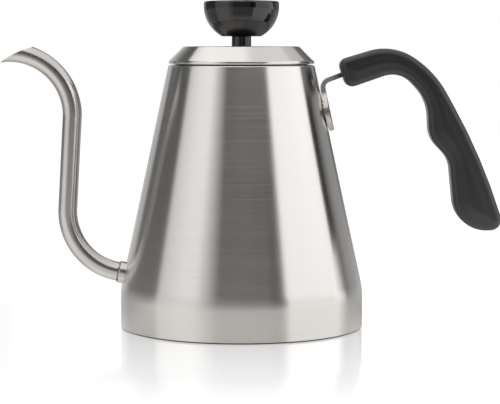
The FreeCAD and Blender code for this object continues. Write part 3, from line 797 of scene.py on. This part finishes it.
entry = move(bend_corner, along(STRAP_RISE, GRIP_START))
entry = beside(entry, STRAP_RISE, -STRAP_THICKNESS / 2)
heel_top = move(entry, (-HEEL_BACK, HEEL_RISE))
heel_bottom = heel_top
for heading, length, _ in GRIP_LEGS:
    heel_bottom = move(heel_bottom, along(heading, length))
heel_step = (heel_top[0] - heel_bottom[0], heel_top[1] - heel_bottom[1])
heel_half = math.hypot(*heel_step) / 2
heel_heading = math.degrees(math.atan2(heel_step[1], heel_step[0]))
heel_middle = move(heel_bottom, (heel_step[0] / 2, heel_step[1] / 2))
outline = bent_path(heel_middle, [
    (heel_heading, heel_half, HEEL_TOP_ROUND), *GRIP_LEGS, (heel_heading - 360, heel_half)])
print("heel", round(2 * heel_half, 1), "mm high")

# %% Body of the grip
FLAT_THICKNESS = 17.0
GRIP_EDGE = 3.4
GRIP_EDGE_STEPS = 8
OUTLINE_REACH = 0.01

grip = draw("handle_grip", outline, fineness=3)
bpy.ops.mesh.select_all(action="SELECT")
bpy.ops.mesh.remove_doubles(threshold=mm(OUTLINE_REACH))
fill_and_raise(FLAT_THICKNESS)
walls = [face.vertices[:] for face in grip.data.polygons if abs(face.normal.y) < 0.5]
outline_wall = BVHTree.FromPolygons([vertex.co.copy() for vertex in grip.data.vertices], walls)
round_edges(grip, GRIP_EDGE, GRIP_EDGE_STEPS)
print("outline of", len(walls), "steps")

# %% Crown of the grip
GRIP_THICKNESS = 20.0
SKIN_SIZE = 0.7
CROWN_START = 2.0
CROWN_WIDTH = 9.0
SMOOTH_ROUNDS = 6

modify(grip, "REMESH", mode="VOXEL", voxel_size=mm(SKIN_SIZE))
crown = (GRIP_THICKNESS - FLAT_THICKNESS) / 2
for vertex in grip.data.vertices:
    inside = outline_wall.find_nearest(vertex.co)[3] * 1000
    share = min(1, max(0, (inside - CROWN_START) / CROWN_WIDTH))
    vertex.co.y += math.copysign(mm(crown) * share ** 2 * (3 - 2 * share), vertex.co.y)
modify(grip, "SMOOTH", factor=0.5, iterations=SMOOTH_ROUNDS)
dress(grip, "kettle", "grip_black", grip_plastic, "grip", angle=60)

# %% [markdown]
# ## Lid
# The lid is pressed from sheet: a flat top, a sloping side, and a hem that almost meets the body's rim. Under it a
# sleeve goes down into the mouth and keeps the lid in place. The sleeve's upper part is painted dark, as painted
# shade that keeps the seam between lid and body dark. Three small vents sit out of sight under the knob.

# %% Lid cover
LID_SEAM = 0.5
LID_HEIGHT = 10.2
LID_INSET = 0.1
LID_WALL = 0.7
LID_BAND = 1.75
LID_TOP_ROUND = 2.0
LID_SIDE_ROUND = 1.4
HEM_ROUND = 0.9
HEM_WIDTH = 1.7
SCREW_HOLE = 2.25

lid_bottom = BODY_HEIGHT + LID_SEAM
lid_top = lid_bottom + LID_HEIGHT
lid_radius = rim_radius - LID_INSET
slope_drop = lid_top - lid_bottom - LID_BAND
lid_top_radius = lid_radius - slope_drop
lid = draw("lid_pressing", bent_path((SCREW_HOLE, lid_top), [
    (0, lid_top_radius - SCREW_HOLE, LID_TOP_ROUND),
    (-45, slope_drop * math.sqrt(2), LID_SIDE_ROUND),
    (-90, LID_BAND, HEM_ROUND),
    (-180, HEM_WIDTH),
]), fineness=6)
spin_round(lid)
thicken(lid, LID_WALL)
print("lid radius", round(lid_radius, 2), "top radius", round(lid_top_radius, 2))

# %% Vents
VENT_COUNT = 3
VENT_RADIUS = 1.5
VENT_RING = 12
VENT_CUT = 6

for number in range(VENT_COUNT):
    only()
    turn = math.radians(360 / VENT_COUNT * number)
    bpy.ops.mesh.primitive_cylinder_add(
        vertices=32, radius=mm(VENT_RADIUS), depth=mm(VENT_CUT),
        location=(mm(VENT_RING) * math.cos(turn), mm(VENT_RING) * math.sin(turn), mm(lid_top)))
    cut_away(lid, bpy.context.object)
dress(lid, "lid", "brushed_steel", brushed_steel, "lid_cover")

# %% Lid sleeve
SKIRT_GAP = 0.4
SKIRT_DEPTH = 12.0
SKIRT_EDGE = 3.0
SKIRT_BEND = 1.5
SKIRT_WALL = 0.6
SEAM_SHADE_BOTTOM = 149.5
SEAM_SHADE_BLEND = 1

skirt_radius = mouth_radius - SKIRT_GAP
wall_drop = LID_WALL * math.sqrt(0.5)
slope_fall = skirt_radius - lid_top_radius + wall_drop
skirt_top = lid_top - wall_drop - slope_fall
skirt = draw("lid_sleeve", bent_path(move((skirt_radius, skirt_top), along(135, SKIRT_EDGE)), [
    (-45, SKIRT_EDGE, SKIRT_BEND),
    (-90, skirt_top - BODY_HEIGHT + SKIRT_DEPTH, SKIRT_BEND),
    (-180, SKIRT_EDGE),
]), fineness=6)
spin_round(skirt)
thicken(skirt, SKIRT_WALL)
# Painted shade: the sleeve turns dark above a height just under the body's rim, so that the seam under the hem reads
# as shadow.
seam_shaded_steel, tree, shader = brushed_finish("steel_with_painted_seam_shade")
paint_shade(tree, shader, "Z", SEAM_SHADE_BOTTOM - SEAM_SHADE_BLEND, SEAM_SHADE_BOTTOM, "#3A3532")
dress(skirt, "lid", "brushed_steel", seam_shaded_steel, "lid_skirt")

# %% [markdown]
# ## Knob
# The knob is a turned bowl with a gently domed top, on a short stem. Its section is drawn with the bowl's one large
# arc and the dome's still larger one, and spun.

# %% Knob
STEM_HEIGHT = 5.7
KNOB_RADIUS = 21.65
KNOB_FOOT = 11.75
FOOT_INSET = 0.5
FOOT_RISE = 0.3
FOOT_ROUND = 0.7
KNOB_BOWL = 17.0
KNOB_CURVE = 19.5
KNOB_BAND = 1.9
KNOB_EDGE = 1.2
KNOB_DOME = 1.4
INSERT_RADIUS = 3.55
INSERT_LENGTH = 12.05

knob_bottom = lid_top + STEM_HEIGHT
rim = knob_bottom + KNOB_BOWL
shoulder = rim + KNOB_BAND
dome_reach = KNOB_RADIUS - KNOB_EDGE
dome_radius = (dome_reach ** 2 + KNOB_DOME ** 2) / (2 * KNOB_DOME)
knob = draw("lid_knob", [
    (0, knob_bottom + INSERT_LENGTH),
    (INSERT_RADIUS, knob_bottom + INSERT_LENGTH),
    (INSERT_RADIUS, knob_bottom),
    (KNOB_FOOT - FOOT_INSET, knob_bottom),
    (KNOB_FOOT, knob_bottom + FOOT_RISE, FOOT_ROUND),
    (KNOB_RADIUS, rim, KNOB_CURVE),
    (KNOB_RADIUS, shoulder),
    (dome_reach, shoulder + KNOB_EDGE, KNOB_EDGE),
    (0, shoulder + KNOB_EDGE + KNOB_DOME, dome_radius),
], fineness=1.5)
spin_round(knob)
dress(knob, "lid", "knob_black", knob_resin, "knob", angle=40)

# %% Stem
STEM_RADIUS = 5.6
STEM_ROUND = 0.3

stem_width = STEM_RADIUS - SCREW_HOLE
stem = draw("knob_post", bent_path((SCREW_HOLE, lid_top), [
    (0, stem_width, STEM_ROUND),
    (90, STEM_HEIGHT, STEM_ROUND),
    (180, stem_width, STEM_ROUND),
    (270, STEM_HEIGHT),
]), fineness=15)
spin_round(stem)
dress(stem, "lid", "knob_black", knob_resin, "knob_stem")

# %% [markdown]
# ## Pieces that keep their solids
# The screw, the washer, the insert, the weld buttons and the disc in the base are simple turned pieces, small or out
# of sight. Their solids stay and only get their finish.

# %% Finishes on the kept solids
for node, finish in (
        ("knob_screw", zinc_steel), ("knob_washer", zinc_steel), ("knob_insert", turned_brass),
        ("heat_spreader", cast_aluminium), ("bracket_welds", satin_steel)):
    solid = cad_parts[node]
    solid.data.materials.clear()
    solid.data.materials.append(finish)
    print(node, "gets", finish.name)

# %% [markdown]
# ## Studio
# The kettle stands on a glossy white table in front of plain white. To shape the steel, a ring of screens stands
# round the table, as in a real studio: bright ones to the left and right, dark ones between them and behind the
# camera. The first cell gives the screens' light by the angle round the table, from the back over the left, the
# front and the right, so that the screens and the far table can share it.

# %% Light round the table
SCREENS = [
    (-180, 0.75), (-165, 0.58), (-140, 0.5), (-136, 0.105), (-89, 0.105), (-84, 0.88), (-72, 1.01),
    (-58, 1.15), (-45, 1.15), (-22, 0.07), (5, 0.065), (20, 0.03), (36, 0.02), (38, 1.43), (104, 1.5),
    (107, 0.13), (119, 0.13), (128, 0.33), (150, 0.33), (154, 0.1), (180, 0.1),
]


def ramp_of(tree, value, levels, tint=(1, 1, 1)):
    """Light levels along a value: the levels are pairs of the value and the light there."""
    first, last = levels[0][0], levels[-1][0]
    way = add(tree, "ShaderNodeMapRange", {"Value": value, "From Min": first, "From Max": last})
    ramp = add(tree, "ShaderNodeValToRGB", {"Fac": way.outputs["Result"]})
    stops = ramp.color_ramp.elements
    while len(stops) < len(levels):
        stops.new(0.5)
    for stop, (mark, level) in zip(stops, levels):
        stop.position = (mark - first) / (last - first)
        stop.color = [level * share for share in tint] + [1]
    return ramp.outputs["Color"]


def light_round_table(tree, share=1.0):
    """A share of the screens' light at the angle of the point that is shaded."""
    split = add(tree, "ShaderNodeSeparateXYZ", {"Vector": add(tree, "ShaderNodeTexCoord").outputs["Object"]})
    front = add(tree, "ShaderNodeMath", {0: split.outputs["Y"], 1: -1.0}, operation="MULTIPLY")
    angle = add(tree, "ShaderNodeMath", {
        0: split.outputs["X"], 1: front.outputs["Value"]}, operation="ARCTAN2")
    degrees = add(tree, "ShaderNodeMath", {0: angle.outputs["Value"]}, operation="DEGREES")
    return ramp_of(tree, degrees.outputs["Value"], [(mark, share * level) for mark, level in SCREENS])


print("screens", len(SCREENS), "levels")

# %% [markdown]
# ## Table
# The table is white laminate that mirrors the kettle near its foot. Its white is painted light, a glow set by the
# distance from the kettle: once as it looks straight on, and once as the steel mirrors it. Both have a painted shadow
# under the kettle's foot. The first is painted brighter near the foot, and the second is painted darker behind the
# kettle. A blurred gloss that fades outwards lies over both.

# %% White of the table
TABLE_REACH = 2.1
TABLE_DROP = 0.02
CONTACT_START = 68.4
CONTACT_END = 70
FOOT_SHADOW_LEVEL = 0.07
VIEW_END = 170
VIEW_NEAR = 0.9
VIEW_FAR = 0.74

only()
bpy.ops.mesh.primitive_circle_add(
    vertices=96, radius=TABLE_REACH, fill_type="NGON", location=(0, 0, -mm(TABLE_DROP)))
table = bpy.context.object
table.name = "table"
laminate, tree = new_finish("white_gloss_laminate")
spot = add(tree, "ShaderNodeTexCoord").outputs["Object"]
away = add(tree, "ShaderNodeVectorMath", {0: spot}, operation="LENGTH").outputs["Value"]
contact = {"Value": away, "From Min": mm(CONTACT_START), "From Max": mm(CONTACT_END)}
# Painted shadow: under the kettle's foot the table's glow drops to a low level.
edge = add(tree, "ShaderNodeMapRange", {**contact, "To Min": FOOT_SHADOW_LEVEL, "To Max": 1.0})
# Painted light: the glow is brighter near the foot than farther out.
outwards = add(tree, "ShaderNodeMapRange", {
    "Value": away, "From Min": mm(CONTACT_END), "From Max": mm(VIEW_END),
    "To Min": VIEW_NEAR, "To Max": VIEW_FAR})
bright = add(tree, "ShaderNodeMath", {
    0: outwards.outputs["Result"], 1: edge.outputs["Result"]}, operation="MULTIPLY")
print("table", TABLE_REACH, "m")

# %% Table as the steel mirrors it
OPEN_LEVEL = 0.65
BEHIND_START = -20
BEHIND_END = 50
SHADE_BEHIND_SHARE = 0.33
FAR_START = 190
FAR_END = 330
FAR_SHARE = 0.62
TABLE_TINT = (1, 0.95, 0.935, 1)

# Painted shade as the steel mirrors the table: black under the foot, and darker behind the kettle.
white = add(tree, "ShaderNodeMapRange", {**contact, "To Min": 0.0, "To Max": OPEN_LEVEL})
depth = add(tree, "ShaderNodeSeparateXYZ", {"Vector": spot}).outputs["Y"]
behind = add(tree, "ShaderNodeMapRange", {
    "Value": depth, "From Min": mm(BEHIND_START), "From Max": mm(BEHIND_END),
    "To Min": 1.0, "To Max": SHADE_BEHIND_SHARE})
near = add(tree, "ShaderNodeMath", {
    0: white.outputs["Result"], 1: behind.outputs["Result"]}, operation="MULTIPLY")
far = add(tree, "ShaderNodeMapRange", {
    "Value": away, "From Min": mm(FAR_START), "From Max": mm(FAR_END)})
mirrored = add(tree, "ShaderNodeMix", {
    "Factor": far.outputs["Result"], "A": near.outputs["Value"],
    "B": light_round_table(tree, FAR_SHARE)}, data_type="RGBA")
warm = add(tree, "ShaderNodeMix", {
    "Factor": 1.0, "A": mirrored.outputs["Result"], "B": TABLE_TINT},
    data_type="RGBA", blend_type="MULTIPLY")
print("mirrored table fades into the screens' light by", FAR_END, "mm")

# %% Gloss of the table
PAPER_COLOUR = (0.5, 0.5, 0.5, 1)
MIRROR_START = 70
MIRROR_END = 260
MIRROR_SHARE = 0.34
VIEW_SHARE = 0.5
MIRROR_ROUGHNESS = 0.12


def looked_at(tree):
    """1 for the rays that look at a surface, and 0 for those that only gather its light."""
    rays = add(tree, "ShaderNodeLightPath").outputs
    seen = add(tree, "ShaderNodeMath", {
        0: rays["Is Camera Ray"], 1: rays["Is Glossy Ray"]}, operation="MAXIMUM")
    return add(tree, "ShaderNodeMath", {
        0: seen.outputs["Value"], 1: rays["Is Transmission Ray"]}, operation="MAXIMUM").outputs["Value"]


rays = add(tree, "ShaderNodeLightPath").outputs
level = add(tree, "ShaderNodeMix", {
    "Factor": rays["Is Glossy Ray"], "A": bright.outputs["Value"], "B": warm.outputs["Result"]},
    data_type="RGBA")
paper = add(tree, "ShaderNodeBsdfDiffuse", {"Color": PAPER_COLOUR})
lift = add(tree, "ShaderNodeEmission", {"Color": level.outputs["Result"], "Strength": looked_at(tree)})
matte = add(tree, "ShaderNodeAddShader", {0: paper.outputs["BSDF"], 1: lift.outputs["Emission"]})
gloss = add(tree, "ShaderNodeBsdfGlossy", {"Color": (1, 1, 1, 1), "Roughness": MIRROR_ROUGHNESS})
fade = add(tree, "ShaderNodeMapRange", {
    "Value": away, "From Min": mm(MIRROR_START), "From Max": mm(MIRROR_END), "To Min": 1.0, "To Max": 0.0})
share = add(tree, "ShaderNodeMix", {"Factor": rays["Is Camera Ray"], "A": MIRROR_SHARE, "B": VIEW_SHARE})
mirror = add(tree, "ShaderNodeMath", {
    0: fade.outputs["Result"], 1: share.outputs["Result"]}, operation="MULTIPLY")
surface = add(tree, "ShaderNodeMixShader", {
    0: mirror.outputs["Value"], 1: matte.outputs["Shader"], 2: gloss.outputs["BSDF"]})
add(tree, "ShaderNodeOutputMaterial", {"Surface": surface.outputs["Shader"]})
table.data.materials.append(laminate)
print("gloss ends at", MIRROR_END, "mm")

# %% [markdown]
# ## Screens
# The ring of screens is one cylinder whose light changes with the angle, and at the back with the height too. A
# ceiling closes it above. A few boards and cloths trim the light where the steel needs an edge or a softer tone.
# They all show in reflections only, and the camera doesn't see them. Their sizes are in metres.

# %% Ring of screens
SCREEN_RADIUS = 2.2
SCREEN_HEIGHT = 1.78
SCREEN_FALL = 0.255

only()
bpy.ops.mesh.primitive_cylinder_add(
    vertices=128, radius=SCREEN_RADIUS, depth=SCREEN_HEIGHT, end_fill_type="NOTHING",
    location=(0, 0, SCREEN_HEIGHT / 2))
screens = bpy.context.object
screens.name = "studio_screens"
bpy.ops.object.transform_apply(location=True, rotation=False, scale=False)
for vertex in screens.data.vertices:
    if vertex.co.z > SCREEN_HEIGHT / 2:
        vertex.co.z -= SCREEN_FALL * vertex.co.x
print("screens", SCREEN_HEIGHT, "m high")

# %% Light of the screens
LEFT_BACK = [(0.5, 0.62), (0.8, 0.55), (1.1, 0.33), (1.5, 0.15), (1.8, 0.12)]
RIGHT_BACK = [(0.5, 0.12), (1.0, 0.15), (1.4, 0.27), (1.8, 0.45)]
HIGH_START = 0.6
HIGH_END = 0.8
BACK_START = 1.1
BACK_END = 1.3
MIDDLE_HALF = 0.3
GLOW_TILT = 0.122
GLOW_TOP = 0.55
GLOW_BOTTOM = 0.15
GLOW_SHARE = 0.4
GLOW_COLOUR = (0.35, 0.35, 0.35, 1)


def for_reflections(piece, finish, light):
    """Make a screen glow, and let it show in reflections only."""
    tree = finish.node_tree
    glow = add(tree, "ShaderNodeEmission", {"Color": light, "Strength": 1.0})
    add(tree, "ShaderNodeOutputMaterial", {"Surface": glow.outputs["Emission"]})
    piece.data.materials.append(finish)
    piece.visible_camera = False
    piece.visible_diffuse = False
    piece.visible_shadow = False


fabric, tree = new_finish("screen_fabric")
place = add(tree, "ShaderNodeTexCoord").outputs["Object"]
split = add(tree, "ShaderNodeSeparateXYZ", {"Vector": place}).outputs
high = add(tree, "ShaderNodeMapRange", {"Value": split["Z"], "From Min": HIGH_START, "From Max": HIGH_END})
behind = add(tree, "ShaderNodeMapRange", {"Value": split["Y"], "From Min": BACK_START, "From Max": BACK_END})
upper_back = add(tree, "ShaderNodeMath", {
    0: high.outputs["Result"], 1: behind.outputs["Result"]}, operation="MULTIPLY")
right = add(tree, "ShaderNodeMapRange", {
    "Value": split["X"], "From Min": -MIDDLE_HALF, "From Max": MIDDLE_HALF})
back = add(tree, "ShaderNodeMix", {
    "Factor": right.outputs["Result"], "A": ramp_of(tree, split["Z"], LEFT_BACK),
    "B": ramp_of(tree, split["Z"], RIGHT_BACK)}, data_type="RGBA")
around = add(tree, "ShaderNodeMix", {
    "Factor": upper_back.outputs["Value"], "A": light_round_table(tree), "B": back.outputs["Result"]},
    data_type="RGBA")
nearer = add(tree, "ShaderNodeMath", {0: split["Y"], 1: GLOW_TILT}, operation="MULTIPLY")
climb = add(tree, "ShaderNodeMath", {0: split["Z"], 1: nearer.outputs["Value"]}, operation="ADD")
glow = add(tree, "ShaderNodeMapRange", {
    "Value": climb.outputs["Value"], "From Min": GLOW_TOP, "From Max": GLOW_BOTTOM,
    "To Min": 0.0, "To Max": GLOW_SHARE})
light = add(tree, "ShaderNodeMix", {
    "Factor": glow.outputs["Result"], "A": around.outputs["Result"], "B": GLOW_COLOUR}, data_type="RGBA")
for_reflections(screens, fabric, light.outputs["Result"])
print("screens lit by", fabric.name)

# %% Ceiling
CEILING = [(-1.0, 1.3), (0.1, 1.3), (0.5, 0.95), (1.0, 0.95)]
CEILING_TINT = (1, 0.98, 0.98)
CEILING_RISE = 1.2

only()
bpy.ops.mesh.primitive_plane_add(size=2 * SCREEN_RADIUS, location=(0, 0, SCREEN_HEIGHT + CEILING_RISE))
ceiling = bpy.context.object
ceiling.name = "studio_ceiling"
fabric, tree = new_finish("ceiling_fabric")
split = add(tree, "ShaderNodeSeparateXYZ", {"Vector": add(tree, "ShaderNodeTexCoord").outputs["Object"]})
for_reflections(ceiling, fabric, ramp_of(tree, split.outputs["X"], CEILING, CEILING_TINT))
print("ceiling", CEILING_RISE, "m above the screens")

# %% Boards and cloths
# Each has a name, its distance, the angle of one side, the angles of the other side's foot and head, the heights of
# its bottom and top, and its light.
BOARDS = [
    ("slanted_flag", 2.05, 28, 45.5, 38.5, -0.05, 1.25, 0.025),
    ("slanted_reflector", 2.05, 98, 119, 106.5, -0.05, 0.37, 1.4),
    ("low_white_board", 2.15, 166, 191, 191, 0.17, 0.62, 1.0),
    ("pale_back_cloth", 2.15, 118, 178, 178, 1.2, 2.3, 0.68),
    ("narrow_black_cloth", 1.2, 170, 190, 190, 0.5, 2.5, 0.08),
]

for name, reach, first, foot, head, bottom, top, level in BOARDS:
    only()
    bpy.ops.mesh.primitive_plane_add(size=2, location=(0, 0, 0))
    board = bpy.context.object
    board.name = name
    for vertex in board.data.vertices:
        upper = vertex.co.y > 0
        angle = math.radians(first if vertex.co.x < 0 else (head if upper else foot))
        vertex.co = (reach * math.sin(angle), -reach * math.cos(angle), top if upper else bottom)
    for_reflections(board, new_finish(name)[0], (level, level, level, 1))
print("boards and cloths", len(BOARDS))

# %% [markdown]
# ## World light
# Plain white lies behind everything that is looked at. The light that it sheds on the pieces is a little weaker, so
# that the shadows stay soft and the plastic stays black.

# %% World light
WORLD_LEVEL = 0.7

world = bpy.data.worlds.new("studio")
bpy.context.scene.world = world
world.use_nodes = True
tree = world.node_tree
tree.nodes.clear()
strength = add(tree, "ShaderNodeMapRange", {"Value": looked_at(tree), "To Min": WORLD_LEVEL, "To Max": 1.0})
backdrop = add(tree, "ShaderNodeBackground", {
    "Color": (1, 1, 1, 1), "Strength": strength.outputs["Result"]})
add(tree, "ShaderNodeOutputWorld", {"Surface": backdrop.outputs["Background"]})
bpy.context.scene.view_settings.view_transform = "Standard"
print("world level", WORLD_LEVEL)
